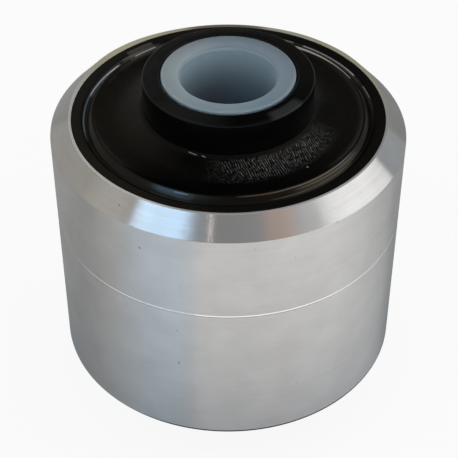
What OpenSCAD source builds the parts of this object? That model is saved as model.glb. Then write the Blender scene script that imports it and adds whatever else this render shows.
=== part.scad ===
// Rubber metal bush for a pivot pin.
// A turned ring is pressed over a bonded bush: sleeve, rubber and tube in one.
// A plain liner stands in the tube and carries the pin.
// The bush is the same from both ends, and it stands on the lower end of its liner.
// All sizes are in millimetres, and +Z runs along the pin.

/* [Outer ring] */
// Outside diameter of the ring, the size that goes into the housing
ring_diameter = 90; // [86:1:96]
// Length of the ring along the pin
ring_length = 74.5; // [60:0.5:90]
// Wall of the ring
ring_wall = 5.5; // [4.5:0.1:7]
// Flat land left at each rim, inside the lead-in chamfer
rim_land = 0.6; // [0.3:0.1:1.5]
// Height of the lead-in chamfer at each end
chamfer_height = 4.7; // [2:0.1:8]
// How far the turned line lies below the upper rim
line_drop = 28.3; // [14:0.1:45]
// Width of the turned line, a fine bead left where the two cuts of the lathe meet
line_width = 0.6; // [0.3:0.1:1]
// Height of the bead above the cuts beside it
line_height = 0.12; // [0.05:0.01:0.3]
// Length over which each cut runs out beside the bead
cut_run_out = 3; // [1:0.5:5]

/* [Sleeve of the bonded bush] */
// Wall of the sleeve that the rubber is bonded into
sleeve_wall = 2.5; // [1.5:0.1:3.5]
// Broken edge at both corners of each sleeve end
sleeve_break = 0.3; // [0.1:0.05:0.6]

/* [Inner tube] */
// Wall of the inner tube
tube_wall = 4.7; // [3:0.1:5.5]
// How far each tube end stands out beyond the ring
tube_stand_out = 11.55; // [7:0.05:18]
// Width of the shallow bevel on each end face
tube_bevel_width = 1.9; // [0.5:0.1:2.2]
// Fall of the shallow bevel
tube_bevel_fall = 0.3; // [0.1:0.05:0.6]
// Rounding of the outer corner of each end
tube_corner = 0.6; // [0.2:0.1:0.8]
// Chamfer round the liner at each end
tube_break = 0.8; // [0.2:0.1:1.2]

/* [Liner] */
// Bore that takes the pin
bore_diameter = 24; // [20:0.5:27]
// Wall of the liner
liner_wall = 4.7; // [4:0.1:6]
// How far each liner end stands out of the tube
liner_stand_out = 0.3; // [0.1:0.05:1.5]
// Flat land of each end face, which the bush stands on
liner_land = 1.5; // [1:0.1:2]
// Fall of each end face from the land to the bore
liner_dish = 0.45; // [0.1:0.05:0.8]
// Rounding of the mouth of the bore
mouth_radius = 1.4; // [0.5:0.1:2]
// Broken outer edge of each liner end
liner_break = 0.3; // [0.1:0.05:0.8]

/* [Rubber] */
// Height of the rubber above the rim where it leaves the tube
rubber_rise = 2.4; // [1.6:0.1:4]
// Fillet of rubber against the tube
foot_radius = 0.6; // [0.3:0.1:1]
// Width of the slope that falls from the tube to the dish
slope_width = 8.3; // [5:0.1:8.5]
// Height of the lowest part of the dish above the rim
dish_height = 0.1; // [-0.6:0.1:0.5]
// Height of the shoulder above the rim
shoulder_height = 0.8; // [0.6:0.1:1.6]
// Distance of the shoulder's crest from the sleeve
shoulder_inset = 2.9; // [2.4:0.1:4]
// Rounding of the shoulder's crest
shoulder_radius = 0.6; // [0.3:0.1:0.9]
// Distance of the bottom of the groove from the sleeve
groove_inset = 0.95; // [0.7:0.05:1.4]
// Depth of the groove below the rim
groove_depth = 1; // [0.6:0.1:1.8]
// Width of the flat bottom of the groove
groove_flat = 0.2; // [0.1:0.05:0.5]
// How far below the rim the rubber meets the sleeve
skin_drop = 0.35; // [0.1:0.05:0.6]

/* [Hidden] */
// Steps of each full turn
round_steps = 72;
// Steps of a small rounded corner in a section
corner_steps = 3;
// Steps of the shoulder's crest, and the angles at which it starts and ends
shoulder_steps = 5;
crest_start = 125;
crest_end = 40;
// Steps along the slope and along the rise to the shoulder
slope_steps = 5;
// Radii from the pin outwards, each taken from the wall inside it or outside it
bore_r = bore_diameter / 2;
liner_r = bore_r + liner_wall;
tube_r = liner_r + tube_wall;
ring_r = ring_diameter / 2;
sleeve_r = ring_r - ring_wall;
rubber_r = sleeve_r - sleeve_wall;
// Heights above the surface that the bush stands on
half_ring = ring_length / 2;
half_tube = half_ring + tube_stand_out;
half_liner = half_tube + liner_stand_out;
middle = half_liner;
// Section of the rubber's end: crest of the shoulder, groove beside it and dish behind it
crest_r = rubber_r - shoulder_inset;
crest_z = shoulder_height - shoulder_radius;
groove_r = rubber_r - groove_inset;
foot_r = tube_r + foot_radius;
dish_r = foot_r + slope_width;

// Points of an arc, from one angle to another
function arc(centre, radius, from, to, steps) =
    [for (i = [0:steps])
        let (a = from + (to - from) * i / steps)
        centre + radius * [cos(a), sin(a)]];

// A list of points turned over at the middle of the bush, in the opposite order
function turned_over(points) =
    [for (i = [len(points) - 1:-1:0]) [points[i][0], -points[i][1]]];

// One full turn of a section that is drawn for its upper half
module turned_both_ends(upper) {
    translate([0, 0, middle])
        rotate_extrude($fn = round_steps)
            polygon(concat(upper, turned_over(upper)));
}

// Turned ring with a wide lead-in chamfer and a flat land at each rim.
// Each cut of the lathe runs out a little deeper, and leaves a fine bead between them
// that stands no higher than the outside diameter.
module outer_ring() {
    line_z = half_ring - line_drop;
    half_line = line_width / 2;
    cut_r = ring_r - line_height;
    cut_end = half_line + cut_run_out;
    color([0.80, 0.81, 0.82])
        translate([0, 0, middle])
            rotate_extrude($fn = round_steps)
                polygon([
                    [sleeve_r, half_ring],
                    [sleeve_r + rim_land, half_ring],
                    [ring_r, half_ring - chamfer_height],
                    [ring_r, line_z + cut_end],
                    [cut_r, line_z + half_line],
                    [ring_r, line_z],
                    [cut_r, line_z - half_line],
                    [ring_r, line_z - cut_end],
                    [ring_r, chamfer_height - half_ring],
                    [sleeve_r + rim_land, -half_ring],
                    [sleeve_r, -half_ring]
                ]);
}

// Sleeve that the rubber is bonded into, level with the ring, with broken corners
module steel_sleeve() {
    color([0.11, 0.105, 0.095])
        turned_both_ends([
            [rubber_r, half_ring - sleeve_break],
            [rubber_r + sleeve_break, half_ring],
            [sleeve_r - sleeve_break, half_ring],
            [sleeve_r, half_ring - sleeve_break]
        ]);
}

// Rubber between tube and sleeve.
// Each end falls from a fillet on the tube to a shallow dish and curls up to a narrow
// crest. Outside the crest it drops into a groove, and climbs the sleeve again.
module rubber_body() {
    foot_centre = [foot_r, half_ring + rubber_rise + foot_radius];
    foot = arc(foot_centre, foot_radius, 180, 270, corner_steps);
    slope = [for (i = [1:slope_steps])
        let (s = i / slope_steps)
        [foot_r + slope_width * s,
         half_ring + dish_height + (rubber_rise - dish_height) * (1 - s) * (1 - s)]];
    crest = arc([crest_r, half_ring + crest_z], shoulder_radius, crest_start, crest_end, shoulder_steps);
    low = [dish_r, half_ring + dish_height];
    rise = [for (i = [1:slope_steps - 1])
        let (s = i / slope_steps)
        [low[0] + (crest[0][0] - low[0]) * s, low[1] + (crest[0][1] - low[1]) * s * s * s * s]];
    groove = [
        [groove_r - groove_flat / 2, half_ring - groove_depth],
        [groove_r + groove_flat / 2, half_ring - groove_depth],
        [rubber_r, half_ring - skin_drop]
    ];
    color([0.09, 0.087, 0.08])
        turned_both_ends(concat(foot, slope, rise, crest, groove));
}

// Thick tube that the rubber is bonded to.
// Each end face has a chamfer round the liner, a flat land, a shallow bevel and a
// rounded corner.
module inner_tube() {
    bevel_r = tube_r - tube_corner - tube_bevel_width;
    corner_r = tube_r - tube_corner;
    corner_z = half_tube - tube_bevel_fall - tube_corner;
    color([0.10, 0.10, 0.095])
        turned_both_ends(concat(
            [[liner_r, half_tube - tube_break], [liner_r + tube_break, half_tube], [bevel_r, half_tube]],
            arc([corner_r, corner_z], tube_corner, 90, 0, corner_steps)
        ));
}

// Liner that the pin turns in, a little proud of the tube, with a rounded mouth
module nylon_liner() {
    mouth_centre = [bore_r + mouth_radius, half_liner - liner_dish - mouth_radius];
    land_r = liner_r - liner_break;
    color([0.78, 0.83, 0.87])
        turned_both_ends(concat(
            arc(mouth_centre, mouth_radius, 180, 90, corner_steps),
            [
                [land_r - liner_land, half_liner],
                [land_r, half_liner],
                [liner_r, half_liner - liner_break]
            ]
        ));
}

outer_ring();
steel_sleeve();
rubber_body();
inner_tube();
nylon_liner();
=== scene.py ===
"""Rubber metal bush: turned ring, painted sleeve, bonded rubber, dark tube and plain liner."""

import logging
import math
from collections.abc import Callable, Iterable, Mapping, Sequence
from dataclasses import dataclass
from enum import Enum
from functools import reduce

import bpy
import numpy as np
from mathutils import Matrix, Vector


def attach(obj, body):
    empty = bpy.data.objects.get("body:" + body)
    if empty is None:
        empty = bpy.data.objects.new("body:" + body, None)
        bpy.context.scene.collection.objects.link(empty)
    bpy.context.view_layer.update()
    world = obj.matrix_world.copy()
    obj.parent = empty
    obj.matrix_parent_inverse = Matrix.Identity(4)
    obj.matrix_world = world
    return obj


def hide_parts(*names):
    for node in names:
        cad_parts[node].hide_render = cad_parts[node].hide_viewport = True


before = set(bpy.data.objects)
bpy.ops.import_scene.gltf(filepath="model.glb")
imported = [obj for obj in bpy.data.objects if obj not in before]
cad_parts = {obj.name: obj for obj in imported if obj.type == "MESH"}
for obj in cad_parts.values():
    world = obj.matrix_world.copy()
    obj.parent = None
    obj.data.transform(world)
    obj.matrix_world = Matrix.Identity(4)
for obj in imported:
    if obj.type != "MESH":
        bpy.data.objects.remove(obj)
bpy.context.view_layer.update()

log = logging.getLogger("bush")

MM = 0.001
TOP = 98.2
MIDDLE = TOP / 2
RIM = 86.35
LINE = 58.05
WHITE = (1.0, 1.0, 1.0)
RAYS = ("Camera", "Glossy", "Transmission")

Grid = np.ndarray
Triple = tuple[float, float, float]
Term = "Wire | float | Sequence[float]"
Push = Callable[[Grid, Grid, Grid], tuple[Grid, Grid]]


class Slot(Enum):
    """The material slots of the record."""

    ALUMINIUM = "aluminium"
    BLACK_STEEL = "black_steel"
    RUBBER = "rubber"
    NYLON = "nylon"


class Wire:
    """One output of a shader tree, on which sums are written as Python sums."""

    def __init__(self, bench: "Bench", socket: bpy.types.NodeSocket) -> None:
        """Keep the socket and the bench that its tree lies on."""
        self.bench = bench
        self.socket = socket

    def _sum(self, operation: str, left: Term, right: Term) -> "Wire":
        """Add the node of one operation on two terms.

        Args:
            operation: The operation's name, the same for values, vectors and colours.
            left: The first term.
            right: The second term.

        Returns:
            The result, a colour or a vector where either term is one.
        """
        kinds = {t.socket.type for t in (left, right) if isinstance(t, Wire)}
        if "RGBA" in kinds:
            settings = {"data_type": "RGBA", "blend_type": operation}
            return self.bench.node("Mix", settings, {0: 1.0, 6: left, 7: right}, 2)
        kind = "VectorMath" if "VECTOR" in kinds else "Math"
        return self.bench.node(kind, {"operation": operation}, {0: left, 1: right})

    def __add__(self, other: Term) -> "Wire":
        """Give this plus the other."""
        return self._sum("ADD", self, other)

    def __radd__(self, other: Term) -> "Wire":
        """Give the other plus this."""
        return self._sum("ADD", other, self)

    def __sub__(self, other: Term) -> "Wire":
        """Give this less the other."""
        return self._sum("SUBTRACT", self, other)

    def __rsub__(self, other: Term) -> "Wire":
        """Give the other less this."""
        return self._sum("SUBTRACT", other, self)

    def __mul__(self, other: Term) -> "Wire":
        """Give this times the other."""
        return self._sum("MULTIPLY", self, other)

    def __rmul__(self, other: Term) -> "Wire":
        """Give the other times this."""
        return self._sum("MULTIPLY", other, self)

    def __truediv__(self, other: Term) -> "Wire":
        """Give this over the other."""
        return self._sum("DIVIDE", self, other)

    def __rtruediv__(self, other: Term) -> "Wire":
        """Give the other over this."""
        return self._sum("DIVIDE", other, self)

    def __pow__(self, other: Term) -> "Wire":
        """Give this to the power of the other."""
        return self._sum("POWER", self, other)

    def smooth(self, low: float, high: float) -> "Wire":
        """Rise from 0 to 1 as this goes from low to high, with soft ends.

        Args:
            low: The value at which the result is 0.
            high: The value at which the result is 1; below low, the result falls.

        Returns:
            The risen value.
        """
        turned = low > high
        ends = {1: min(low, high), 2: max(low, high), 3: float(turned), 4: float(not turned)}
        settings = {"interpolation_type": "SMOOTHSTEP"}
        return self.bench.node("MapRange", settings, {0: self, **ends})

    def most(self, other: Term) -> "Wire":
        """Give the larger of this and the other."""
        return self._sum("MAXIMUM", self, other)

    def swing(self, amount: float) -> "Wire":
        """Give noise between 0 and 1 as a swing of that amount about 0."""
        return (self - 0.5) * amount

    def dot(self, other: Term) -> "Wire":
        """Give the dot product of this vector and the other."""
        inputs = {0: self, 1: other}
        return self.bench.node("VectorMath", {"operation": "DOT_PRODUCT"}, inputs, "Value")


class Bench:
    """The shader tree of one material or world, with the means to add nodes to it."""

    def __init__(self, tree: bpy.types.NodeTree) -> None:
        """Keep the tree, cleared of what it came with."""
        tree.nodes.clear()
        self.tree = tree

    def node(
        self,
        kind: str,
        settings: Mapping[str, object] | None = None,
        inputs: Mapping[str | int, Term] | None = None,
        output: str | int = 0,
    ) -> Wire | None:
        """Add one node.

        Args:
            kind: The node's type, without its leading ShaderNode.
            settings: The node's own settings, set first.
            inputs: Values or wires for its sockets, by name or place.
            output: The socket that is given back, by name or place.

        Returns:
            The chosen output, or None where the node ends its tree.
        """
        made = self.tree.nodes.new("ShaderNode" + kind)
        for key, value in (settings or {}).items():
            setattr(made, key, value)
        for key, term in (inputs or {}).items():
            self.feed(made.inputs[key], term)
        return Wire(self, made.outputs[output]) if made.outputs else None

    def feed(self, socket: bpy.types.NodeSocket, term: Term) -> None:
        """Link a wire to a socket, or set its value.

        Args:
            socket: The input to fill.
            term: A wire, a number, or the parts of a colour or vector.
        """
        if isinstance(term, Wire):
            self.tree.links.new(term.socket, socket)
        elif socket.type == "RGBA":
            parts = (term,) * 3 if isinstance(term, (int, float)) else tuple(term)[:3]
            socket.default_value = (*parts, 1.0)
        elif socket.type == "VECTOR" and isinstance(term, (int, float)):
            socket.default_value = (term,) * 3
        else:
            socket.default_value = term

    def blend(self, share: Term, first: Term, second: Term) -> Wire:
        """Mix two colours; the share, from 0 to 1, is how much of the second shows."""
        return self.node("Mix", {"data_type": "RGBA"}, {0: share, 6: first, 7: second}, 2)

    def layers(self, colour: Term, layers: Iterable[tuple[Term, Term]]) -> Term:
        """Lay colours over a first one.

        Args:
            colour: The colour underneath.
            layers: The share and the colour of each layer, from the lowest up.

        Returns:
            The colour that shows.
        """
        for share, layer in layers:
            colour = self.blend(share, colour, layer)
        return colour

    def parts(self, vector: Wire) -> list[Wire]:
        """Give the three parts of a vector."""
        split = self.node("SeparateXYZ", None, {0: vector}).socket.node
        return [Wire(self, part) for part in split.outputs]

    def rays(self) -> tuple[Wire, Wire]:
        """Tell the rays of the scene apart.

        Returns:
            Two masks: for what the camera sees, and for what metal and glass show.
        """
        path = self.node("LightPath").socket.node.outputs
        camera, glossy, through = (Wire(self, path[f"Is {ray} Ray"]) for ray in RAYS)
        return camera, glossy + through

    def noise(self, place: Wire, detail: float = 2.0, rough: float = 0.5) -> Wire:
        """Give noise from 0 to 1, a lump to each unit, with finer layers by detail and rough."""
        inputs = {"Vector": place, "Scale": 1.0, "Detail": detail, "Roughness": rough}
        return self.node("TexNoise", {"noise_dimensions": "3D"}, inputs)

    def relief(self, height: Wire, depth: float, strength: float = 1.0) -> Wire:
        """Tilt the normal by a height from 0 to 1, of which 1 is that many millimetres."""
        inputs = {"Height": height, "Distance": depth * MM, "Strength": strength}
        return self.node("Bump", None, inputs)


@dataclass(frozen=True)
class Spot:
    """A small round spot on a turned piece.

    Args:
        turn: Degrees round the pin from the front, more to the right.
        radius: Its distance from the pin, in millimetres.
        height: Its height, in millimetres.
        size: Its own radius, in millimetres.
    """

    turn: float
    radius: float
    height: float
    size: float


@dataclass(frozen=True)
class Side:
    """A stretch round the pin that fades from its middle to its ends.

    Args:
        turn: Degrees round the pin from the front to its middle, more to the right.
        spread: Degrees from its middle to each end.
        amount: How strong it is in the middle.
        firm: The share of its rise at which it is full, or None for a plain rise.
    """

    turn: float
    spread: float
    amount: float = 1.0
    firm: float | None = None


@dataclass(frozen=True)
class Streak:
    """A thin bright streak of painted light that runs round the pin.

    Args:
        turn: Degrees round the pin from the front to its middle, more to the right.
        spread: Degrees from its middle to each end.
        radius: Its distance from the pin at the middle, in millimetres.
        width: Half of its width, in millimetres.
        colour: Its colour.
        lean: How much further out it lies for each degree to the right.
        firm: How firm its ends are, from 0 to 1.
    """

    turn: float
    spread: float
    radius: float
    width: float
    colour: Triple
    lean: float = 0.0
    firm: float = 0.85


class Turned:
    """Places on a turned piece, in millimetres: along the pin, outwards and round it."""

    def __init__(self, bench: Bench) -> None:
        """Read the object's own coordinates and work out height, radius and direction.

        Args:
            bench: The shader tree.
        """
        self.bench = bench
        own = bench.node("TexCoord", None, None, "Object")
        self.place = bench.node("VectorMath", {"operation": "SCALE"}, {0: own, "Scale": 1 / MM})
        x, y, z = bench.parts(self.place)
        self.height = z
        self.radius = (x * x + y * y) ** 0.5
        self.east = x / self.radius
        self.north = y / self.radius
        self.away = (z - MIDDLE).most(MIDDLE - z)
        self.upper = z.smooth(MIDDLE, MIDDLE + 5.0)
        angle = bench.node("Math", {"operation": "ARCTAN2"}, {0: x, 1: 0.0 - y})
        self.turn = angle * math.degrees(1)

    def rings(self, round_it: float, across: float) -> Wire:
        """Place for marks that run round the piece, on its side and its faces alike.

        Args:
            round_it: How fast the marks change round the piece; small is long marks.
            across: How many marks there are to each millimetre across them.

        Returns:
            The place, in which height less radius is the way across the marks.
        """
        marks = (self.height - self.radius) * across
        parts = {0: self.east * round_it, 1: self.north * round_it, 2: marks}
        return self.bench.node("CombineXYZ", None, parts)

    def band(self, streak: Streak) -> Wire:
        """Give 1 inside a thin streak that runs round the pin.

        Args:
            streak: The streak's place and size.

        Returns:
            The streak's mask, with soft edges and firmer ends.
        """
        round_it = self.turn - streak.turn
        beside = self.radius - streak.radius - round_it * streak.lean
        end = (round_it * (1.0 / streak.spread)) ** 2.0
        edge = (beside * (1.0 / streak.width)) ** 2.0
        return end.smooth(1.0, streak.firm) * edge.smooth(1.0, 0.15) * self.upper

    def spot(self, spot: Spot) -> Wire:
        """Give 1 inside a small spot, with a soft edge.

        Args:
            spot: The spot's place and size.

        Returns:
            The spot's mask.
        """
        way = math.radians(spot.turn)
        centre = (spot.radius * math.sin(way), -spot.radius * math.cos(way), spot.height)
        inputs = {0: self.place, 1: centre}
        far = self.bench.node("VectorMath", {"operation": "DISTANCE"}, inputs, "Value")
        return far.smooth(spot.size, spot.size * 0.35)

    def side(self, side: Side) -> Wire:
        """Give a mask that fades from the middle of a stretch to its ends.

        Args:
            side: The stretch.

        Returns:
            The mask, from the dot product of the direction and the stretch's middle.
        """
        way = math.radians(side.turn)
        towards = self.east * math.sin(way) + self.north * -math.cos(way)
        share = towards.smooth(math.cos(math.radians(side.spread)), 1.0)
        share = share if side.firm is None else share.smooth(0.0, side.firm)
        return share * side.amount


@dataclass(frozen=True)
class Finish:
    """A finish of the bush: its name, the record's slot, and what it does to a shader."""

    name: str
    slot: Slot

    def material(self) -> bpy.types.Material:
        """Make the material.

        Returns:
            The material, with its shader tree.
        """
        made = bpy.data.materials.new(self.name)
        made.use_nodes = True
        bench = Bench(made.node_tree)
        shader = bench.node("BsdfPrincipled", None, self.sockets(bench, Turned(bench)))
        bench.node("OutputMaterial", None, {"Surface": shader})
        return made

    def sockets(self, bench: Bench, turned: Turned) -> dict[str, Term]:
        """Give the values and wires of the main shader's sockets."""
        raise NotImplementedError


@dataclass(frozen=True)
class TurnedAluminium(Finish):
    """Aluminium as it comes from the lathe, finer on the chamfers than on the side.

    Args:
        tone: The metal's own colour.
        dull: A duller colour, in streaks round the ring.
        land: The colour of the flat land at each rim.
        land_highlight: The land's colour with a painted highlight, at the left.
        painted_land_behind: Its warmer colour behind, a painted warm reflection.
        land_shade: Its darker colour straight behind, painted shade.
        chamfer_shade: Painted shade that darkens the chamfer behind at the right.
        bright: The colour of the bead, a painted highlight.
        shaded: The colour just under the bead, painted shade.
        foot_shadow: The colour of a painted shadow line along the foot of the side.
        pitted: The colour inside a pit.
        nicked: The colour of a nick.
        side_gloss: Roughness of the long side.
        chamfer_gloss: Roughness of the chamfers.
        smear: How much longer a reflection is across the marks than along them.
        chamfer_z: Distance of the chamfer's lower edge from the middle.
        rim_z: Distance of the rim from the middle.
        line: Height of the bead round the side.
        line_ends: Turns at which the bead starts to show and shows in full, at each end.
        foot: Height at which the side ends.
        land_highlight_side: Where the land has its painted highlight.
        behind: Where the land has its painted warm reflection.
        dim: Where the land has its painted shade.
        duller: Where the chamfer has its painted shade.
        foot_shadow_side: Where the foot has its painted shadow line.
        pits: Small pits.
        nicks: Bright nicks on the chamfer's edge.
    """

    tone: Triple = (0.82, 0.825, 0.83)
    dull: Triple = (0.73, 0.73, 0.725)
    land: Triple = (0.46, 0.455, 0.44)
    land_highlight: Triple = (0.75, 0.74, 0.71)
    painted_land_behind: Triple = (0.56, 0.52, 0.37)
    land_shade: Triple = (0.28, 0.24, 0.16)
    chamfer_shade: Triple = (0.02, 0.015, 0.0)
    bright: Triple = (0.97, 0.97, 0.97)
    shaded: Triple = (0.40, 0.39, 0.38)
    foot_shadow: Triple = (0.04, 0.038, 0.034)
    pitted: Triple = (0.09, 0.09, 0.10)
    nicked: Triple = (0.9, 0.9, 0.92)
    side_gloss: float = 0.37
    chamfer_gloss: float = 0.22
    smear: float = 1.0
    chamfer_z: float = 81.65 - MIDDLE
    rim_z: float = RIM - MIDDLE
    line: float = LINE
    line_ends: tuple[tuple[float, float], ...] = ((-66.0, -44.0), (78.0, 66.0))
    foot: float = 16.55
    land_highlight_side: Side = Side(-72.0, 66.0, 1.0, 0.5)
    behind: Side = Side(172.0, 100.0, 1.0, 0.6)
    dim: Side = Side(-179.0, 19.0, 1.0, 0.8)
    duller: Side = Side(114.0, 38.0, 0.30)
    foot_shadow_side: Side = Side(34.0, 80.0, 0.95, 0.6)
    pits: tuple[Spot, ...] = (
        Spot(-27.5, 45.0, 75.9, 0.34),
        Spot(-14.5, 45.0, 66.5, 0.16),
        Spot(-16.1, 45.0, 51.8, 0.22),
        Spot(-15.8, 45.0, 40.6, 0.34),
        Spot(20.5, 45.0, 75.0, 0.18),
        Spot(22.7, 45.0, 31.5, 0.18),
        Spot(-36.8, 42.5, 84.0, 0.24),
        Spot(-9.3, 45.0, 57.8, 0.24),
        Spot(21.1, 45.0, 57.4, 0.22),
        Spot(34.5, 45.0, 81.5, 0.26),
    )
    nicks: tuple[Spot, ...] = (
        Spot(-36.2, 44.9, 81.8, 0.45),
        Spot(-18.1, 44.9, 81.6, 0.40),
        Spot(-9.0, 44.9, 81.6, 0.25),
    )

    def sockets(self, bench: Bench, turned: Turned) -> dict[str, Term]:
        """Give the values and wires of the main shader's sockets.

        Args:
            bench: The shader tree.
            turned: Places on the ring.

        Returns:
            Values and wires by socket name.
        """
        on_chamfer = turned.away.smooth(self.chamfer_z - 0.05, self.chamfer_z + 0.15)
        on_land = turned.away.smooth(self.rim_z - 0.10, self.rim_z - 0.03)
        fine = bench.noise(turned.rings(2.0, 8.0), 3.0, 0.6)
        coarse = bench.noise(turned.rings(1.0, 1.1))
        cloud = bench.noise(turned.place * 0.12, 2.0, 0.55)
        crumbs = bench.noise(turned.place * 1.6, 3.0, 0.6)
        streak = fine * 0.7 + coarse * 0.3
        above = turned.height - self.line
        bead = above.smooth(-0.34, -0.24) * above.smooth(0.34, 0.24)
        for start, full in self.line_ends:
            bead = bead * turned.turn.smooth(start, full)
        above_foot = turned.height - self.foot
        at_foot = above_foot.smooth(0.62, 0.30) * above_foot.smooth(-0.65, -0.35)
        inputs = {"Vector": turned.place, "Scale": 0.35, "Randomness": 1.0}
        cells = bench.node("TexVoronoi", {"feature": "F1"}, inputs)
        grain = cells.smooth(0.07, 0.03) * cloud.smooth(0.52, 0.62) * 0.5
        pit = reduce(Wire.most, map(turned.spot, self.pits), grain)
        nick = reduce(Wire.most, map(turned.spot, self.nicks))
        # Painted light on the land: a highlight at the left, a warm reflection behind and shade
        # straight behind.
        land = bench.blend(turned.side(self.land_highlight_side), self.land, self.land_highlight)
        painted_land_behind = bench.blend(turned.side(self.dim), self.painted_land_behind, self.land_shade)
        streaked = bench.blend((streak * 0.5 + cloud * 0.5).smooth(0.3, 0.7), self.tone, self.dull)
        layers = (
            # The bead's colour is a painted highlight, and just under it is painted shade.
            (bead, self.bright),
            (bead * above.smooth(-0.10, -0.22) * 0.9, self.shaded),
            # Painted shade on the chamfer behind at the right.
            (on_chamfer * turned.side(self.duller), self.chamfer_shade),
            (on_land, bench.blend(turned.side(self.behind), land, painted_land_behind)),
            # A painted shadow line along the foot of the side.
            (at_foot * turned.side(self.foot_shadow_side), self.foot_shadow),
            (pit * 0.75, self.pitted),
            (nick * 0.6, self.nicked),
        )
        gloss = on_chamfer * (self.chamfer_gloss - self.side_gloss) + self.side_gloss
        gloss = gloss + streak.swing(0.06) + cloud.swing(0.02) + pit * 0.2 - bead * 0.20
        marks = fine * 0.7 + coarse * 0.1 + crumbs * 0.1
        rise = marks * (1.0 - on_chamfer * 0.6) - pit * 1.5 - nick * 1.0
        return {
            "Base Color": bench.layers(streaked, layers),
            "Metallic": 1.0 - on_land * 0.55,
            "Roughness": gloss + on_land * 0.2,
            "Anisotropic": self.smear,
            "Anisotropic Rotation": 0.25,
            "Normal": bench.relief(rise, 0.003, 0.5),
        }


@dataclass(frozen=True)
class SleevePaint(Finish):
    """Black paint on the sleeve's ends, matt, with a little brown dust.

    Args:
        tone: The paint's colour.
        dust: The colour of the dust.
        dusty: Where the dust lies thicker.
        least: How much dust there is elsewhere.
        smear: A pale painted reflection on the upper end, behind at the left.
    """

    tone: Triple = (0.0030, 0.0027, 0.0019)
    dust: Triple = (0.0125, 0.0112, 0.0080)
    dusty: tuple[Side, ...] = (Side(-82.0, 95.0, 0.75), Side(182.0, 32.0, 0.55))
    least: float = 0.10
    smear: Streak = Streak(-140.5, 6.5, 37.2, 1.1, (0.078, 0.070, 0.056), 0.0, 0.8)

    def sockets(self, bench: Bench, turned: Turned) -> dict[str, Term]:
        """Give the values and wires of the main shader's sockets.

        Args:
            bench: The shader tree.
            turned: Places on the sleeve.

        Returns:
            Values and wires by socket name.
        """
        patch = bench.noise(turned.place * 0.16, 3.0, 0.6)
        speck = bench.noise(turned.place * 2.2, 3.0, 0.7)
        fine = bench.noise(turned.rings(3.0, 3.0))
        dusty = sum(map(turned.side, self.dusty), self.least) + patch.swing(0.5) + speck.swing(0.5)
        # A pale painted reflection on the upper end, behind at the left.
        reflection_patch = turned.band(self.smear) * (0.8 + speck.swing(0.6))
        layers = ((dusty.smooth(0.0, 1.0), self.dust), (reflection_patch, self.smear.colour))
        return {
            "Base Color": bench.layers(self.tone, layers),
            "Metallic": 0.0,
            "Roughness": 0.55 + patch.swing(0.2) + speck.swing(0.15),
            "Specular IOR Level": 0.08,
            "Normal": bench.relief(speck * 0.7 + fine * 0.3, 0.03, 0.6),
        }


@dataclass(frozen=True)
class DarkSteel(Finish):
    """Blackened steel of the tube, turned on its ends.

    Args:
        tone: The colour of the black layer.
        lighter: The colour where the layer is worn thin.
        painted_sheen: The greenish colour of a painted sheen on part of the end face.
        face_z: Distances from the middle at which the end face starts and is full.
        thinnest: Where the layer is thinnest, in patches.
        thinner: Where else it is thin.
        sheen_patch: Where the painted sheen lies.
    """

    tone: Triple = (0.0008, 0.0008, 0.0007)
    lighter: Triple = (0.0105, 0.0110, 0.0098)
    painted_sheen: Triple = (0.0290, 0.0330, 0.0295)
    face_z: tuple[float, float] = (47.9, 48.3)
    thinnest: Side = Side(-105.0, 110.0)
    thinner: tuple[Side, ...] = (Side(118.0, 90.0, 0.45), Side(-25.0, 35.0, 0.5))
    sheen_patch: Side = Side(43.0, 17.5, 1.0, 0.8)

    def sockets(self, bench: Bench, turned: Turned) -> dict[str, Term]:
        """Give the values and wires of the main shader's sockets.

        Args:
            bench: The shader tree.
            turned: Places on the tube.

        Returns:
            Values and wires by socket name.
        """
        fine = bench.noise(turned.rings(3.0, 6.0), 3.0, 0.6)
        patch = bench.noise(turned.place * 0.2)
        face = turned.away.smooth(*self.face_z)
        thin = turned.side(self.thinnest) * (0.75 + patch.swing(0.6)) + fine.swing(0.35)
        thin = face * sum(map(turned.side, self.thinner), thin)
        # A greenish painted sheen on the outer part of the end face, at the front right.
        sheen_patch = face * turned.side(self.sheen_patch) * turned.radius.smooth(18.3, 19.6)
        layers = ((thin.smooth(0.0, 1.0), self.lighter), (sheen_patch * (0.8 + fine.swing(0.8)), self.painted_sheen))
        return {
            "Base Color": bench.layers(self.tone, layers),
            "Metallic": 0.0,
            "Roughness": 0.26 + fine.swing(0.12) + patch.swing(0.12),
            "Specular IOR Level": 0.10,
            "Normal": bench.relief(fine * 0.7 + patch * 0.3, 0.02, 0.6),
        }


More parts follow.
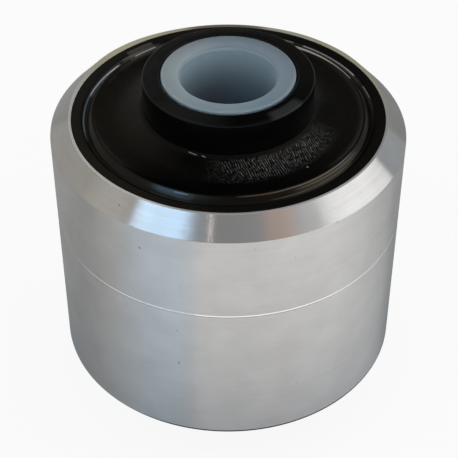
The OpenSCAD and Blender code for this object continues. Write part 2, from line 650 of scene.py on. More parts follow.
@dataclass(frozen=True)
class BushRubber(Finish):
    """Moulded rubber: smooth warm black, wrinkled on the slope, wet in the groove.

    Args:
        tone: The rubber's colour.
        bloom_and_sheen: The paler colour of its bloom, which also paints a warm reflection.
        bloom_and_sheen_at: Where the bloom and its painted warm reflection lie.
        ridge_highlight: The colour of the painted highlights on the ridges of the wrinkles.
        wrinkle_way: The turn at which the wrinkles run straight outwards.
        wrinkle_gap: Distance from one wrinkle to the next, in millimetres.
        slope: Radii between which the slope is wrinkled.
        wrinkled: Where the slope is wrinkled.
        lighter: Where the ridges are worn bright.
        glossy_from: Radius outside which the rubber is glossy.
        wet: Stretches of the groove with a film of grease.
        streaks: Painted highlights and reflections in the groove, on the crest and at the foot.
        sheen: Tint of what the rubber reflects.
    """

    tone: Triple = (0.0003, 0.0003, 0.0003)
    bloom_and_sheen: Triple = (0.0092, 0.0074, 0.0048)
    bloom_and_sheen_at: tuple[Side, ...] = (Side(-96.0, 66.0), Side(112.0, 80.0, 0.6))
    ridge_highlight: Triple = (0.128, 0.128, 0.125)
    wrinkle_way: float = 27.5
    wrinkle_gap: float = 0.61
    slope: tuple[float, float] = (22.3, 28.5)
    wrinkled: Side = Side(28.0, 58.0, 1.0, 0.7)
    # lighter: Where the ridges get painted highlights.
    lighter: Side = Side(32.0, 48.0)
    glossy_from: float = 33.3
    wet: tuple[Side, ...] = (
        Side(-140.0, 11.0, 0.25, 0.25),
        Side(-22.0, 10.0, 0.05, 0.25),
        Side(41.0, 20.0, 0.02, 0.25),
        Side(130.0, 20.0, 0.15, 0.25),
    )
    streaks: tuple[Streak, ...] = (
        Streak(-140.5, 7.0, 35.6, 1.6, (0.085, 0.078, 0.062), 0.0, 0.80),
        Streak(-139.5, 6.0, 34.20, 0.24, (0.80, 0.76, 0.70)),
        Streak(-99.0, 29.0, 36.38, 0.26, (0.170, 0.210, 0.260), 0.0, 0.20),
        Streak(-115.0, 13.5, 36.30, 0.17, (0.85, 0.90, 1.00), 0.0, 0.60),
        Streak(131.0, 18.0, 34.12, 0.34, (0.42, 0.385, 0.355), -0.024),
        Streak(132.0, 15.5, 36.83, 0.20, (0.40, 0.37, 0.345)),
        Streak(105.0, 5.0, 36.75, 0.14, (0.22, 0.21, 0.20), 0.0, 0.4),
        Streak(154.0, 3.0, 36.85, 0.14, (0.25, 0.24, 0.225), 0.0, 0.4),
        Streak(41.0, 17.0, 35.3, 0.8, (0.028, 0.022, 0.013), 0.0, 0.3),
        Streak(44.0, 19.0, 35.02, 0.12, (0.085, 0.070, 0.048), 0.0, 0.3),
        Streak(36.0, 22.0, 35.62, 0.12, (0.070, 0.058, 0.042), 0.0, 0.3),
        Streak(39.0, 23.0, 34.52, 0.13, (0.125, 0.108, 0.082), 0.0, 0.3),
        Streak(-23.0, 7.0, 34.9, 0.75, (0.010, 0.030, 0.055), 0.0, 0.3),
        Streak(-18.5, 3.5, 34.75, 0.16, (0.09, 0.14, 0.19), 0.0, 0.3),
        Streak(13.0, 11.0, 34.55, 0.14, (0.10, 0.067, 0.052), 0.0, 0.2),
        Streak(-23.0, 3.6, 21.9, 0.13, (0.22, 0.22, 0.24), 0.04, 0.3),
        Streak(-15.5, 1.6, 22.0, 0.13, (0.20, 0.20, 0.22), 0.10, 0.3),
        Streak(40.0, 0.7, 29.5, 0.3, (0.25, 0.25, 0.25), 0.0, 0.1),
    )
    sheen: Triple = (1.0, 0.94, 0.82)

    def sockets(self, bench: Bench, turned: Turned) -> dict[str, Term]:
        """Give the values and wires of the main shader's sockets.

        Args:
            bench: The shader tree.
            turned: Places on the rubber.

        Returns:
            Values and wires by socket name.
        """
        inner, outer = self.slope
        on_slope = turned.radius.smooth(inner - 0.3, inner + 0.5)
        on_slope = on_slope * turned.radius.smooth(outer + 1.2, outer - 0.8)
        glossy = turned.radius.smooth(self.glossy_from, self.glossy_from + 0.6)
        foot = turned.radius.smooth(22.6, 22.0)
        way = math.radians(self.wrinkle_way)
        across = turned.place.dot((math.cos(way), math.sin(way), 0.0))
        drift = bench.noise(turned.place * 0.35)
        fine = bench.noise(turned.place * 0.9)
        phase = across * (math.tau / self.wrinkle_gap) + drift * 13.0 + fine * 6.0
        wrinkle = bench.node("Math", {"operation": "SINE"}, {0: phase}) * 0.5 + 0.5
        lighter = bench.noise(turned.place * 1.1, 2.0, 0.6).smooth(0.36, 0.66)
        fading = turned.radius.smooth(30.0, 25.0) * 0.65 + 0.35
        # Painted highlights on the ridges of the wrinkles at the front right, broken up by noise.
        ridge = wrinkle.smooth(0.50, 1.0) * lighter * fading * on_slope * turned.side(self.lighter)
        skin = bench.noise(turned.place * 3.2, 2.0, 0.6)
        damp = reduce(Wire.most, map(turned.side, self.wet))
        broad = bench.noise(turned.place * 0.22)
        # Paler bloom at the left and right, which also paints the warm reflection there.
        bloom_and_sheen_at = sum(map(turned.side, self.bloom_and_sheen_at), 0.0) * (0.55 + broad * 0.5)
        lines = bench.noise(turned.rings(0.7, 2.3), 2.0, 0.6).smooth(0.40, 0.62)
        grain = lines * 0.55 + skin * 0.3 + 0.30
        bloom_and_sheen_at = bloom_and_sheen_at * turned.radius.smooth(22.5, 29.0)
        layers = [(bloom_and_sheen_at, self.bloom_and_sheen), (ridge * turned.upper, self.ridge_highlight)]
        # Painted highlights and reflections: thin streaks in the groove, on the crest and at the
        # foot.
        layers += [(turned.band(streak) * grain, streak.colour) for streak in self.streaks]
        wrinkled = wrinkle * on_slope * turned.side(self.wrinkled) * turned.upper
        return {
            "Base Color": bench.layers(self.tone, layers),
            "Metallic": 0.0,
            "Roughness": 0.27 - glossy * 0.05 + broad.swing(0.10) + foot * 0.3,
            "Specular IOR Level": 0.26,
            "Specular Tint": (*self.sheen, 1.0),
            "Coat Weight": damp * glossy * turned.upper * (0.8 + broad.swing(0.8)),
            "Coat Roughness": 0.09,
            "Coat IOR": 2.4,
            "Normal": bench.relief(wrinkled * 0.7 + skin * 0.12 + broad * 0.25, 0.10, 0.8),
        }


@dataclass(frozen=True)
class PlainNylon(Finish):
    """Natural nylon of the liner, milky, with the faint rings of its turning.

    Args:
        tone: The nylon's colour.
        clear: The colder, darker colour of painted shade on the right and behind.
        lit_mouth: The colour inside the bore near its mouth, lighter with painted light for the
            light that comes through.
        deep: The colour deep in the bore, darker with painted shade.
        shade: The painted shade on the front of the end face, as a colour to multiply by.
        colder: Where the nylon has its colder painted shade.
        front: Where the end face has painted shade.
        behind: Where it has painted shade, a little darker.
    """

    tone: Triple = (0.255, 0.300, 0.320)
    clear: Triple = (0.172, 0.225, 0.272)
    lit_mouth: Triple = (0.270, 0.355, 0.410)
    deep: Triple = (0.170, 0.215, 0.250)
    shade: Triple = (0.80, 0.90, 0.93)
    colder: Side = Side(115.0, 170.0)
    front: Side = Side(5.0, 62.0, 0.85)
    behind: Side = Side(172.0, 90.0, 0.20)

    def sockets(self, bench: Bench, turned: Turned) -> dict[str, Term]:
        """Give the values and wires of the main shader's sockets.

        Args:
            bench: The shader tree.
            turned: Places on the liner.

        Returns:
            Values and wires by socket name.
        """
        fine = bench.noise(turned.rings(1.5, 4.0))
        cloud = bench.noise(turned.place * 0.18)
        colder = turned.side(self.colder).smooth(0.1, 0.9) * 0.8 + cloud.swing(0.4)
        inside = turned.radius.smooth(12.6, 12.1)
        inward = turned.radius.smooth(16.4, 13.4) * turned.radius.smooth(12.35, 12.75)
        lip = turned.away.smooth(46.9, 47.6) * turned.radius.smooth(12.6, 12.25)
        # Painted shade: colder and darker on the right and behind, brighter at the left.
        colour = bench.blend(colder, self.tone, self.clear)
        # Painted shade on the front of the end face.
        colour = bench.blend(turned.side(self.front), colour, colour * self.shade)
        # Painted light and shade: lighter towards the bore, a little darker behind.
        colour = colour * (0.97 + inward * 0.10 - turned.side(self.behind) * (1.3 - inward))
        # Painted light near the bore's mouth, fading to painted shade deep in the bore.
        bore = bench.blend(turned.away.smooth(46.3, 31.0), self.lit_mouth, self.deep)
        return {
            # The mouth's rounding gets painted shade, a little darker.
            "Base Color": bench.blend(inside, colour, bore) * (1.0 - lip * 0.17),
            "Metallic": 0.0,
            "Roughness": 0.46 + fine.swing(0.10) + cloud.swing(0.10),
            "Subsurface Weight": 0.9,
            "Subsurface Radius": (1.0, 1.1, 1.2),
            "Subsurface Scale": 5.0 * MM,
            "Normal": bench.relief(fine * 0.7 + cloud * 0.3, 0.015, 0.5),
        }


class Section:
    """A closed section of a turned piece, as rows of radius and height in millimetres."""

    def __init__(self, corners: Sequence[Sequence[float]], roundings: Sequence[float]) -> None:
        """Keep each corner's radius and height, in order, and the radius of its rounding."""
        self.corners = np.asarray(corners, float)
        self.roundings = np.asarray(roundings, float)

    @classmethod
    def same_both_ends(
        cls, upper: Sequence[Sequence[float]], roundings: Sequence[float]
    ) -> "Section":
        """Make a section from its upper half, which is turned over at the middle.

        Args:
            upper: Corners of the upper half, from the pin outwards.
            roundings: The rounding of each of them.

        Returns:
            The whole section.
        """
        half = np.asarray(upper, float)
        lower = half[::-1] * (1, -1) + (0, TOP)
        return cls(np.vstack([half, lower]), [*roundings, *reversed(roundings)])

    def outline(self, steps: int = 4, longest: float = 1.5) -> Grid:
        """Work out the section's points.

        A corner's rounding is an arc that touches both of its sides. Its centre lies on
        the line that halves the corner, its two ends lie radius over tangent of the half
        angle along the sides, and the points between turn evenly from one to the other.
        A short stretch of side beside each arc is kept apart, so that the shading of the
        side stays flat. Long sides are then cut into equal lengths.

        Args:
            steps: Cuts of each rounding.
            longest: The longest side left between two points, in millimetres.

        Returns:
            One row of radius and height for each point.
        """
        here = self.corners
        back = np.roll(here, 1, axis=0) - here
        ahead = np.roll(here, -1, axis=0) - here
        back_length = np.linalg.norm(back, axis=1, keepdims=True)
        ahead_length = np.linalg.norm(ahead, axis=1, keepdims=True)
        back, ahead = back / back_length, ahead / ahead_length
        half = np.arccos(np.clip((back * ahead).sum(1, keepdims=True), -1, 1)) / 2
        room = np.minimum(back_length, ahead_length) * 0.42
        reach = np.minimum(self.roundings[:, None] / np.tan(half), room)
        radius = reach * np.tan(half)
        middle = back + ahead
        middle = middle / np.maximum(np.linalg.norm(middle, axis=1, keepdims=True), 1e-9)
        centre = here + middle * radius / np.sin(half)
        first, last = here + back * reach - centre, here + ahead * reach - centre
        sweep = (math.pi - 2 * half)[:, None]
        share = np.linspace(0, 1, steps + 1)[None, :, None]
        safe = np.maximum(np.sin(sweep), 1e-9)
        arc = np.sin((1 - share) * sweep) / safe * first[:, None]
        arc = arc + np.sin(share * sweep) / safe * last[:, None] + centre[:, None]
        guard = np.minimum(reach * 1.25, reach + 0.06)
        before, after = here + back * guard, here + ahead * guard
        points = np.concatenate([before[:, None], arc, after[:, None]], axis=1).reshape(-1, 2)
        return self.cut_long_sides(points, longest)

    @staticmethod
    def cut_long_sides(points: Grid, longest: float) -> Grid:
        """Cut each long side of a closed outline into equal lengths.

        Args:
            points: One row of radius and height for each point.
            longest: The longest side that is left, in millimetres.

        Returns:
            The outline with the points that were added.
        """
        ahead = np.roll(points, -1, axis=0) - points
        count = np.maximum(np.ceil(np.linalg.norm(ahead, axis=1) / longest), 1).astype(int)
        start = np.repeat(np.cumsum(count) - count, count)
        share = (np.arange(count.sum()) - start) / np.repeat(count, count)
        return np.repeat(points, count, axis=0) + np.repeat(ahead, count, axis=0) * share[:, None]


def revolve(name: str, outline: Grid, steps: int, push: Push | None = None) -> bpy.types.Object:
    """Carry a closed outline once round the pin.

    A point at radius r, height z and angle t lies at r sin t, -r cos t, z, so that angle
    0 is the front and the angle grows to the right. Each cell of the grid of points is a
    face, wound so that it points out of the material.

    Args:
        name: The piece's name.
        outline: One row of radius and height for each point, in millimetres.
        steps: Steps of the full turn.
        push: Gives how far each point moves outwards and up, from angle, radius, height.

    Returns:
        The piece, linked to the scene.
    """
    (x, y), (next_x, next_y) = outline.T, np.roll(outline, -1, axis=0).T
    outline = outline if (x * next_y - y * next_x).sum() > 0 else outline[::-1]
    turn = np.linspace(0, 2 * np.pi, steps, endpoint=False)[None, :]
    radius = np.repeat(outline[:, :1], steps, axis=1)
    height = np.repeat(outline[:, 1:], steps, axis=1)
    if push is not None:
        outwards, up = push(turn + 0 * radius, radius, height)
        radius, height = radius + outwards, height + up
    points = np.stack([radius * np.sin(turn), -radius * np.cos(turn), height], axis=-1) * MM
    place = np.arange(points.shape[0] * steps).reshape(points.shape[0], steps)
    along, beside = np.roll(place, -1, axis=0), np.roll(place, -1, axis=1)
    across = np.roll(along, -1, axis=1)
    faces = np.stack([place, beside, across, along], axis=-1).reshape(-1, 4)
    return mesh_object(name, points.reshape(-1, 3), faces)


def mesh_object(name: str, points: Grid, faces: Grid) -> bpy.types.Object:
    """Put a grid of points and four-sided faces into a mesh.

    Args:
        name: The piece's name.
        points: One row of x, y, z for each point, in metres.
        faces: One row of four places for each face.

    Returns:
        The piece, shaded smooth and linked to the scene.
    """
    mesh = bpy.data.meshes.new(name)
    mesh.vertices.add(len(points))
    mesh.vertices.foreach_set("co", points.astype(np.float32).ravel())
    mesh.loops.add(faces.size)
    mesh.loops.foreach_set("vertex_index", faces.astype(np.int32).ravel())
    mesh.polygons.add(len(faces))
    mesh.polygons.foreach_set("loop_start", np.arange(0, faces.size, 4, dtype=np.int32))
    mesh.polygons.foreach_set("use_smooth", np.ones(len(faces), bool))
    mesh.update(calc_edges=True)
    mesh.validate()
    piece = bpy.data.objects.new(name, mesh)
    bpy.context.scene.collection.objects.link(piece)
    return piece


def waves(turn: Grid, seed: int, lowest: int, highest: int) -> Grid:
    """Give a smooth wave round the pin, made of whole numbers of turns.

    The wave is a sum of sines with one, two and more periods to the turn, each with a
    seeded phase and a seeded share, divided by the root of their number.

    Args:
        turn: The angle round the pin, in radians.
        seed: The seed of the phases and shares.
        lowest: Periods of the longest wave.
        highest: Periods of the shortest wave.

    Returns:
        The wave, about between -1 and 1.
    """
    dice = np.random.default_rng(seed)
    count = np.arange(lowest, highest + 1)
    phase = dice.uniform(0, 2 * np.pi, count.size)
    share = dice.uniform(0.4, 1.0, count.size)
    parts = np.sin(turn[..., None] * count + phase) * share
    return parts.sum(-1) / math.sqrt(count.size)


@dataclass(frozen=True)
class Swell:
    """A soft swelling round the pin.

    Args:
        at: Its middle, in degrees from the front.
        near: Degrees to either side over which it is full.
        far: Degrees to either side at which it ends.
        much: Its size, in millimetres.
    """

    at: float
    near: float
    far: float
    much: float

    def over(self, turn: Grid) -> Grid:
        """Work out the swelling.

        Its share s grows with the cosine of the angle from its middle, and is smoothed
        as 3 s squared less 2 s cubed.

        Args:
            turn: The angle round the pin, in radians.

        Returns:
            The swelling at each point, in millimetres.
        """
        full, none = math.cos(math.radians(self.near)), math.cos(math.radians(self.far))
        share = np.clip((np.cos(turn - math.radians(self.at)) - none) / (full - none), 0, 1)
        return share * share * (3 - 2 * share) * self.much


def arc(centre: Sequence[float], radius: float, ends: Sequence[float], count: int) -> Grid:
    """Give points of an arc, each the centre plus the radius times cosine and sine.

    Args:
        centre: Radius and height of the arc's centre.
        radius: The arc's own radius.
        ends: The angles at which it starts and ends, in degrees.
        count: The number of points.

    Returns:
        One row of radius and height for each point.
    """
    angle = np.radians(np.linspace(*ends, count))
    return np.stack([np.cos(angle), np.sin(angle)], 1) * radius + centre


@dataclass
class Piece:
    """A turned piece of the bush.

    Args:
        name: The piece's name in the scene.
        node: The CAD node that it stands for.
        finish: Its finish.
        steps: Steps of its full turn.
    """

    name: str
    node: str
    finish: Finish
    steps: int

    def outline(self) -> Grid:
        """Give the outline of the piece's section."""
        raise NotImplementedError

    def push(self, turn: Grid, radius: Grid, height: Grid) -> tuple[Grid, Grid]:
        """Leave every point where it is, unless the piece says otherwise."""
        return 0 * radius, 0 * height

    def build(self) -> bpy.types.Object:
        """Build the piece, dress it and set it in the place of its node.

        Returns:
            The finished piece.
        """
        piece = revolve(self.name, self.outline(), self.steps, self.push)
        piece.data.materials.append(self.finish.material())
        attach(piece, "root")
        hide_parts(self.node)
        log.info("%s: %d faces", self.name, len(piece.data.polygons))
        return piece


@dataclass
class OuterRing(Piece):
    """The turned ring, with a wide chamfer at each end and a fine bead round its side.

    Args:
        inner: Radius of the seat for the sleeve.
        land: Radius at which the flat land ends.
        outer: Radius of the side.
        chamfer: Height of the chamfer.
        line: Height of the bead.
        bead: Height of the bead over the cuts beside it.
        bead_half: Half of the bead's width.
        run_out: Length over which each cut runs out.
        wider: Swellings of the upper land's width.
        higher: Rise of the chamfer's lower edge.
        higher_over: Length of the side below that edge over which the rise fades.
    """

    inner: float = 39.52
    land: float = 40.1
    outer: float = 45.0
    chamfer: float = 4.7
    line: float = LINE
    bead: float = 0.12
    bead_half: float = 0.3
    run_out: float = 3.0
    wider: tuple[Swell, ...] = (
        Swell(180.0, 46.0, 76.0, 0.85),
        Swell(180.0, 6.0, 30.0, -0.28),
        Swell(-122.0, 5.0, 34.0, 0.45),
    )
    higher: Swell = Swell(-116.0, 6.0, 38.0, 0.65)
    higher_over: float = 8.0

    def outline(self) -> Grid:
        """Give the ring's section, with small roundings at every corner.

        Returns:
            One row of radius and height for each point.
        """
        low, cut = TOP - RIM, self.outer - self.bead
        end = self.bead_half + self.run_out
        corners = [
            (self.inner, low),
            (self.land, low),
            (self.outer, low + self.chamfer),
            (self.outer, self.line - end),
            (cut, self.line - self.bead_half),
            (self.outer, self.line),
            (cut, self.line + self.bead_half),
            (self.outer, self.line + end),
            (self.outer, RIM - self.chamfer),
            (self.land, RIM),
            (self.inner, RIM),
        ]
        roundings = [0.08, 0.12, 0.30, 8.0, 0.15, 0.08, 0.15, 8.0, 0.30, 0.12, 0.08]
        return Section(corners, roundings).outline(4, 2.0)

    def push(self, turn: Grid, radius: Grid, height: Grid) -> tuple[Grid, Grid]:
        """Widen the upper land behind, where the chamfer is cut less deep.

        The shift is full at the land's edge and fades to nothing at the side. Behind at
        the left the chamfer's lower edge also lies higher.

        Args:
            turn: The angle round the pin.
            radius: The radius of each point.
            height: The height of each point.

        Returns:
            Moves outwards and up.
        """
        seat, edge = self.inner + 0.1, RIM - self.chamfer
        on_land = np.clip((radius - seat) / (self.land - seat), 0, 1)
        on_chamfer = np.clip((self.outer - radius) / (self.outer - self.land), 0, 1)
        upper = height > edge - 0.5
        wider = sum(swell.over(turn) for swell in self.wider)
        below = np.clip((height - edge + self.higher_over) / self.higher_over, 0, 1)
        near_edge = below * np.clip((RIM - height) / self.chamfer, 0, 1) * (radius > self.land)
        return upper * wider * np.minimum(on_land, on_chamfer), self.higher.over(turn) * near_edge


@dataclass
class Sleeve(Piece):
    """The painted sleeve, level with the ring.

    Args:
        inner: Radius of the seat of the rubber.
        outer: Radius inside the ring.
        edge: Width of the broken corners.
        wave: How much the painted ends wave.
        sunk: How far they lie below the rim on average.
    """

    inner: float = 37.0
    outer: float = 39.48
    edge: float = 0.3
    wave: float = 0.012
    sunk: float = 0.03

    def outline(self) -> Grid:
        """Give the sleeve's section, with broken corners.

        Returns:
            One row of radius and height for each point.
        """
        upper = [
            (self.inner, RIM - self.edge),
            (self.inner + self.edge, RIM),
            (self.outer - self.edge, RIM),
            (self.outer, RIM - self.edge),
        ]
        return Section.same_both_ends(upper, [0.1, 0.2, 0.2, 0.1]).outline(3, 3.0)

    def push(self, turn: Grid, radius: Grid, height: Grid) -> tuple[Grid, Grid]:
        """Wave the ends a little, as thick paint does.

        Args:
            turn: The angle round the pin.
            radius: The radius of each point.
            height: The height of each point.

        Returns:
            Moves outwards and up.
        """
        at_end = np.abs(height - MIDDLE) > RIM - MIDDLE - 0.05
        move = waves(turn, 5, 6, 40) * self.wave - self.sunk
        return 0 * radius, at_end * move * np.sign(height - MIDDLE)


@dataclass
class RubberBody(Piece):
    """The bonded rubber, with a slope, a dish, a shoulder and a groove at each end.

    Args:
        inner: Radius of the tube.
        outer: Radius inside the sleeve.
        foot: Radius of the fillet against the tube.
        rise: Height of the rubber over the rim at the tube.
        slope: Width of the slope.
        dish: Height of the dish over the rim.
        crest: Radius of the shoulder's crest.
        crest_arc: Angles at which the crest's rounding starts and ends.
        shoulder: Radius of the crest's rounding.
        shoulder_rise: Height of the shoulder over the rim.
        groove: Distance of the groove's bottom from the sleeve.
        groove_half: Half of the width of that bottom.
        groove_depth: Depth of the groove below the rim.
        skin_drop: Drop below the rim at which the rubber meets the sleeve.
        bulge: How much the flank outside the crest bulges.
        sag: How much the climb to the sleeve sags, outwards and up.
        long_wave: Height of the long waves of the free rubber.
        short_wave: Height of the short ones.
    """

    inner: float = 21.4
    outer: float = 37.0
    foot: float = 0.15
    rise: float = 2.4
    slope: float = 8.55
    dish: float = 0.1
    crest: float = 34.1
    crest_arc: tuple[float, float] = (125.0, 40.0)
    shoulder: float = 0.6
    shoulder_rise: float = 0.8
    groove: float = 0.95
    groove_half: float = 0.1
    groove_depth: float = 1.0
    skin_drop: float = 0.35
    bulge: float = 0.16
    sag: tuple[float, float] = (0.10, -0.14)
    long_wave: float = 0.035
    short_wave: float = 0.012

    def outline(self) -> Grid:
        """Work out the rubber's section.

        The foot is a quarter arc. The slope falls as the square of what is left of its
        width, and the rise to the crest grows as the fourth power of its share. The crest
        is an arc. The flank outside it bulges, and the climb to the sleeve sags, by a
        little times the share and what is left of it.

        Returns:
            One row of radius and height for each point.
        """
        foot_r = self.inner + self.foot
        dish_r = foot_r + self.slope
        foot = arc((foot_r, self.rise + self.foot), self.foot, (180.0, 270.0), 7)
        level = self.shoulder_rise - self.shoulder
        crest = arc((self.crest, level), self.shoulder, self.crest_arc, 14)
        share = np.linspace(0, 1, 45)[1:]
        fall = self.dish + (self.rise - self.dish) * (1 - share) ** 2
        slope = np.stack([foot_r + self.slope * share, fall], 1)
        share = np.linspace(0, 1, 26)[1:-1]
        lift = self.dish + (crest[0, 1] - self.dish) * share**4
        rise = np.stack([dish_r + (crest[0, 0] - dish_r) * share, lift], 1)
        share = np.linspace(0, 1, 9)[1:, None]
        bottom = self.outer - self.groove
        near = np.array([bottom - self.groove_half, -self.groove_depth])
        far = np.array([bottom + self.groove_half, -self.groove_depth])
        flank = crest[-1] + (near - crest[-1]) * share + self.bulge * share * (1 - share)
        climb = far + (np.array([self.outer, -self.skin_drop]) - far) * share
        climb = climb + np.array(self.sag) * share * (1 - share)
        upper = np.vstack([foot, slope, rise, crest, flank, far[None], climb]) + (0, RIM)
        lower = upper[::-1] * (1, -1) + (0, TOP)
        return Section.cut_long_sides(np.vstack([upper, lower]), 6.0)

    def push(self, turn: Grid, radius: Grid, height: Grid) -> tuple[Grid, Grid]:
        """Wave the free rubber a little; where it is bonded it stays.

        Args:
            turn: The angle round the pin.
            radius: The radius of each point.
            height: The height of each point.

        Returns:
            Moves outwards and up.
        """
        free = np.clip((radius - self.inner - 0.4) / 1.5, 0, 1)
        free = free * np.clip((self.outer - 0.3 - radius) / 1.6, 0, 1)
        wave = waves(turn, 11, 2, 9) * self.long_wave + waves(turn, 12, 12, 60) * self.short_wave
        return 0 * radius, free * wave * np.sign(height - MIDDLE)


@dataclass
class InnerTube(Piece):
    """The dark tube, with a shallow bevel on each end face.

    Args:
        inner: Radius inside, where the liner is.
        outer: Radius outside.
        top: Height of the end face.
        mouth: Width of the chamfer round the liner.
        bevel: Width of the bevel.
        fall: Fall of the bevel.
        corner: Rounding of the outer corner.
    """

    inner: float = 16.7
    outer: float = 21.4
    top: float = 97.9
    mouth: float = 0.8
    bevel: float = 1.9
    fall: float = 0.3
    corner: float = 0.6

    def outline(self) -> Grid:
        """Give the tube's section, with rounded corners.

        Returns:
            One row of radius and height for each point.
        """
        bevel_r = self.outer - self.corner - self.bevel
        slant = self.fall / (self.bevel + self.corner)
        upper = [
            (self.inner + 0.01, self.top - self.mouth),
            (self.inner + self.mouth, self.top),
            (bevel_r, self.top),
            (self.outer, self.top - slant * (self.outer - bevel_r)),
        ]
        return Section.same_both_ends(upper, [0.1, 0.12, 3.0, self.corner]).outline(8, 3.0)


@dataclass
class Liner(Piece):
    """The nylon liner, a little proud of the tube, with a rounded mouth.

    Args:
        bore: Radius of the bore.
        outer: Radius outside.
        mouth: Rounding of the bore's mouth.
        dish: Fall of the end face from the land to the bore.
        land: Width of the flat land.
        edge: Broken outer edge.
    """

    bore: float = 12.0
    outer: float = 16.69
    mouth: float = 1.4
    dish: float = 0.45
    land: float = 1.5
    edge: float = 0.3

    def outline(self) -> Grid:
        """Give the liner's section, with soft edges and a full quarter arc at the mouth.

        Returns:
            One row of radius and height for each point.
        """
        land_r = self.outer - self.edge
        upper = [
            (self.bore, TOP - self.dish),
            (land_r - self.land, TOP),
            (land_r, TOP),
            (self.outer, TOP - self.edge),
        ]
        roundings = [self.mouth, 2.0, 0.25, 0.2]
        return Section.same_both_ends(upper, roundings).outline(8, 2.5)


@dataclass
class Lamp:
    """A soft lamp that looks at the bush.

    Args:
        name: The lamp's name.
        turn: Degrees round the pin from the camera's side, more to the right.
        rise: Degrees above the floor.
        width: How wide it looks from the bush, in degrees.
        tall: How tall it looks from the bush, in degrees.
        level: Its brightness, where 1 is white.
        tint: Its colour.
        far: Its distance, in metres.
    """

    name: str
    turn: float
    rise: float
    width: float
    tall: float
    level: float
    tint: Triple = WHITE
    far: float = 2.0

    def build(self) -> bpy.types.Object:
        """Set up the lamp.

        A lamp of some power gives that power over its area and pi as its brightness.

        Returns:
            The lamp.
        """
        light = bpy.data.lights.new(self.name, "AREA")
        light.shape = "RECTANGLE"
        light.size = 2 * self.far * math.tan(math.radians(self.width) / 2)
        light.size_y = 2 * self.far * math.tan(math.radians(self.tall) / 2)
        light.energy = self.level * math.pi * light.size * light.size_y
        light.color = self.tint
        lamp = bpy.data.objects.new(self.name, light)
        bpy.context.scene.collection.objects.link(lamp)
        turn, rise = math.radians(self.turn), math.radians(self.rise)
        level = math.cos(rise)
        way = Vector((math.sin(turn) * level, -math.cos(turn) * level, math.sin(rise)))
        target = Vector((0, 0, RIM * MM))
        lamp.location = target + way * self.far
        lamp.rotation_euler = way.to_track_quat("Z", "Y").to_euler()
        log.info("lamp %s at %.0f degrees round and %.0f up", self.name, self.turn, self.rise)
        return lamp


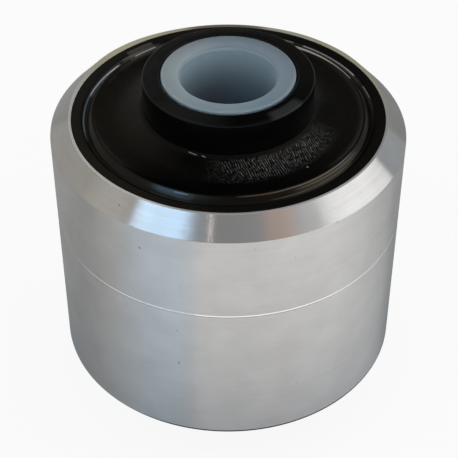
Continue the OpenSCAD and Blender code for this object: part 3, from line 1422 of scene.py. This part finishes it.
@dataclass
class Studio:
    """The pale floor, the even room light, the lamps and the camera.

    Args:
        walls: Brightness of the room's walls, for what they light.
        ceiling: Brightness of its ceiling, in the same way.
        dim: Brightness of the room as metal shows it.
        darker: How much darker metal shows the ceiling and the rear wall.
        rear_way: The way to the dark rear wall of the room.
        warm_way: The way to the room's warmer wall.
        warm_room: The colour of that wall, as metal shows it.
        lit_way: The way from the bush to where the floor is lit best.
        cool_way: The way from the bush to where the window's blue light falls.
        paper: The floor's own colour.
        floor_lit: The floor's colour where it is lit best, as metal shows it.
        floor_cool: The floor's colour in the window's light, as metal shows it.
        floor_dull: The floor's colour elsewhere, as metal shows it.
        floor_near: The floor's colour close to the bush, as metal shows it, a painted shadow.
        floor_fade: Distances over which the near colour fades, in metres.
        floor_glow: How much of the floor's look is fixed, for the camera and for metal.
        floor_size: Half of the floor's side, in metres.
        lens: The camera's lens, in millimetres on a 36 mm frame.
        camera_at: Where the camera stands, in metres.
        pitch: How far it looks down, in radians.
        yaw: How far it is turned, in radians.
        roll: How far it is tilted sideways, in radians.
    """

    walls: float = 0.85
    ceiling: float = 0.30
    dim: float = 0.235
    darker: float = 0.8
    rear_way: Triple = (0.20, 0.76, 0.62)
    warm_way: Triple = (-0.95, 0.10, 0.29)
    warm_room: Triple = (1.0, 0.945, 0.85)
    lit_way: Triple = (0.21, -0.98, 0.0)
    cool_way: Triple = (-0.66, -0.75, 0.0)
    paper: Triple = (0.8, 0.8, 0.8)
    floor_lit: Triple = (1.0, 0.975, 0.94)
    floor_cool: Triple = (0.86, 0.95, 1.0)
    floor_dull: Triple = (0.385, 0.385, 0.38)
    floor_near: Triple = (0.13, 0.165, 0.21)
    floor_fade: tuple[float, float] = (0.047, 0.150)
    floor_glow: tuple[float, float] = (0.90, 0.92)
    floor_size: float = 6.0
    lens: float = 106.95
    camera_at: Triple = (0.0, -0.278529, 0.287711)
    pitch: float = 0.71200
    yaw: float = 0.00080
    roll: float = 0.0020

    def build(self, lamps: Sequence[Lamp]) -> None:
        """Set up floor, room light, lamps and camera.

        Args:
            lamps: The lamps to set up.
        """
        self.build_floor()
        self.build_room()
        for lamp in lamps:
            lamp.build()
        self.build_camera()

    def build_floor(self) -> None:
        """Lay the floor: pale, white to the camera, duller to metal, and shaded by the bush."""
        size = self.floor_size
        corners = ((-size, -size, 0), (size, -size, 0), (size, size, 0), (-size, size, 0))
        floor = mesh_object("floor", np.array(corners, float), np.array([[0, 1, 2, 3]]))
        paper = bpy.data.materials.new("paper_floor")
        paper.use_nodes = True
        bench = Bench(paper.node_tree)
        camera, mirror = bench.rays()
        place = bench.node("TexCoord", None, None, "Object")
        far = bench.node("VectorMath", {"operation": "LENGTH"}, {0: place}, "Value")
        far = far.smooth(*self.floor_fade)
        way = bench.node("VectorMath", {"operation": "NORMALIZE"}, {0: place})
        cool = way.dot(self.cool_way).smooth(0.88, 0.995)
        pale = bench.blend(cool, self.floor_lit, self.floor_cool)
        # As metal shows it, the floor gets a painted shadow close to the bush.
        shown = bench.blend(far, self.floor_near, self.floor_dull)
        shown = bench.blend(way.dot(self.lit_way).smooth(-0.25, 0.9) * far, shown, pale)
        soft = bench.node("BsdfDiffuse", None, {"Color": bench.blend(mirror, self.paper, shown)})
        glow = bench.node("Emission", None, {"Color": bench.blend(mirror, WHITE, shown)})
        share = camera * self.floor_glow[0] + mirror * self.floor_glow[1]
        mixed = bench.node("MixShader", None, {0: share, 1: soft, 2: glow})
        bench.node("OutputMaterial", None, {"Surface": mixed})
        floor.data.materials.append(paper)

    def build_room(self) -> None:
        """Light the room evenly: white to the camera, dim to metal, plain to the rest."""
        world = bpy.data.worlds.new("room")
        world.use_nodes = True
        bpy.context.scene.world = world
        bench = Bench(world.node_tree)
        camera, mirror = bench.rays()
        way = bench.node("TexCoord", None, None, "Generated")
        up = bench.parts(way)[2]
        room = self.walls + up.smooth(0.55, 0.9) * (self.ceiling - self.walls)
        overhead = 1.0 - self.darker * up.smooth(0.80, 0.93)
        rear = 1.0 - self.darker * way.dot(self.rear_way).smooth(0.80, 0.96)
        shown = self.dim * overhead * rear
        level = room + camera * (1.0 - room) + mirror * (shown - room)
        warm = way.dot(self.warm_way).smooth(0.1, 0.8) * mirror
        tint = bench.blend(warm, WHITE, self.warm_room)
        sky = bench.node("Background", None, {"Color": tint, "Strength": level})
        bench.node("OutputWorld", None, {"Surface": sky})

    def build_camera(self) -> None:
        """Stand the camera where the photograph was taken.

        It looks ahead and down by the pitch. Its right hand is level, and the roll then
        turns right and up about the way it looks.
        """
        flat = math.cos(self.pitch)
        down = math.sin(self.pitch)
        ahead = Vector((math.sin(self.yaw) * flat, math.cos(self.yaw) * flat, -down))
        level = ahead.cross(Vector((0, 0, 1))).normalized()
        upright = level.cross(ahead)
        right = level * math.cos(self.roll) + upright * math.sin(self.roll)
        up = upright * math.cos(self.roll) - level * math.sin(self.roll)
        data = bpy.data.cameras.new("camera")
        data.lens = self.lens
        data.sensor_width = 36.0
        data.clip_start = 0.01
        data.clip_end = 50.0
        camera = bpy.data.objects.new("camera", data)
        bpy.context.scene.collection.objects.link(camera)
        turned = Matrix((right, up, -ahead)).transposed()
        camera.matrix_world = Matrix.Translation(Vector(self.camera_at)) @ turned.to_4x4()
        bpy.context.scene.camera = camera


LAMPS = (
    Lamp("window_left", -48.0, 46.0, 28.0, 22.0, 1.72, (0.50, 0.74, 1.0)),
    Lamp("window_edge", -25.0, 50.0, 14.0, 20.0, 0.16, (0.6, 0.78, 1.0)),
    Lamp("softbox_right", 92.0, 27.0, 40.0, 42.0, 0.84, (1.0, 0.985, 0.965)),
    Lamp("softbox_edge", 60.0, 38.0, 18.0, 30.0, 0.22, (1.0, 0.99, 0.97)),
    Lamp("side_right", 124.0, 12.0, 20.0, 30.0, 0.14, (0.8, 0.92, 1.0)),
    Lamp("wall_left", -98.0, 26.0, 84.0, 52.0, 0.12, (1.0, 0.96, 0.88)),
    Lamp("curtain_left", -82.0, 38.0, 28.0, 40.0, 0.10, (1.0, 0.97, 0.93)),
    Lamp("warm_board", 38.0, 48.0, 15.0, 16.0, 0.26, (1.0, 0.34, 0.02)),
    Lamp("slit", -13.2, 51.5, 0.5, 9.0, 6.5, (1.0, 0.84, 0.81)),
    Lamp("front_low", 25.0, 15.0, 86.0, 24.0, 1.05, (1.0, 0.975, 0.945)),
    Lamp("overhead", 126.0, 63.0, 36.0, 22.0, 0.75),
)


def main() -> None:
    """Build the bush piece by piece, then the studio."""
    logging.basicConfig(level=logging.INFO, format="%(name)s: %(message)s")
    aluminium = TurnedAluminium("turned_aluminium", Slot.ALUMINIUM)
    paint = SleevePaint("sleeve_paint", Slot.BLACK_STEEL)
    rubber = BushRubber("bush_rubber", Slot.RUBBER)
    steel = DarkSteel("dark_steel", Slot.BLACK_STEEL)
    nylon = PlainNylon("plain_nylon", Slot.NYLON)
    pieces = (
        OuterRing("ring_turned", "outer_ring", aluminium, 480),
        Sleeve("sleeve_painted", "steel_sleeve", paint, 360),
        RubberBody("rubber_moulded", "rubber_body", rubber, 400),
        InnerTube("tube_blackened", "inner_tube", steel, 288),
        Liner("liner_turned", "nylon_liner", nylon, 288),
    )
    for piece in pieces:
        piece.build()
    Studio().build(LAMPS)
    bpy.context.scene.view_settings.view_transform = "Standard"


if __name__ == "__main__":
    main()
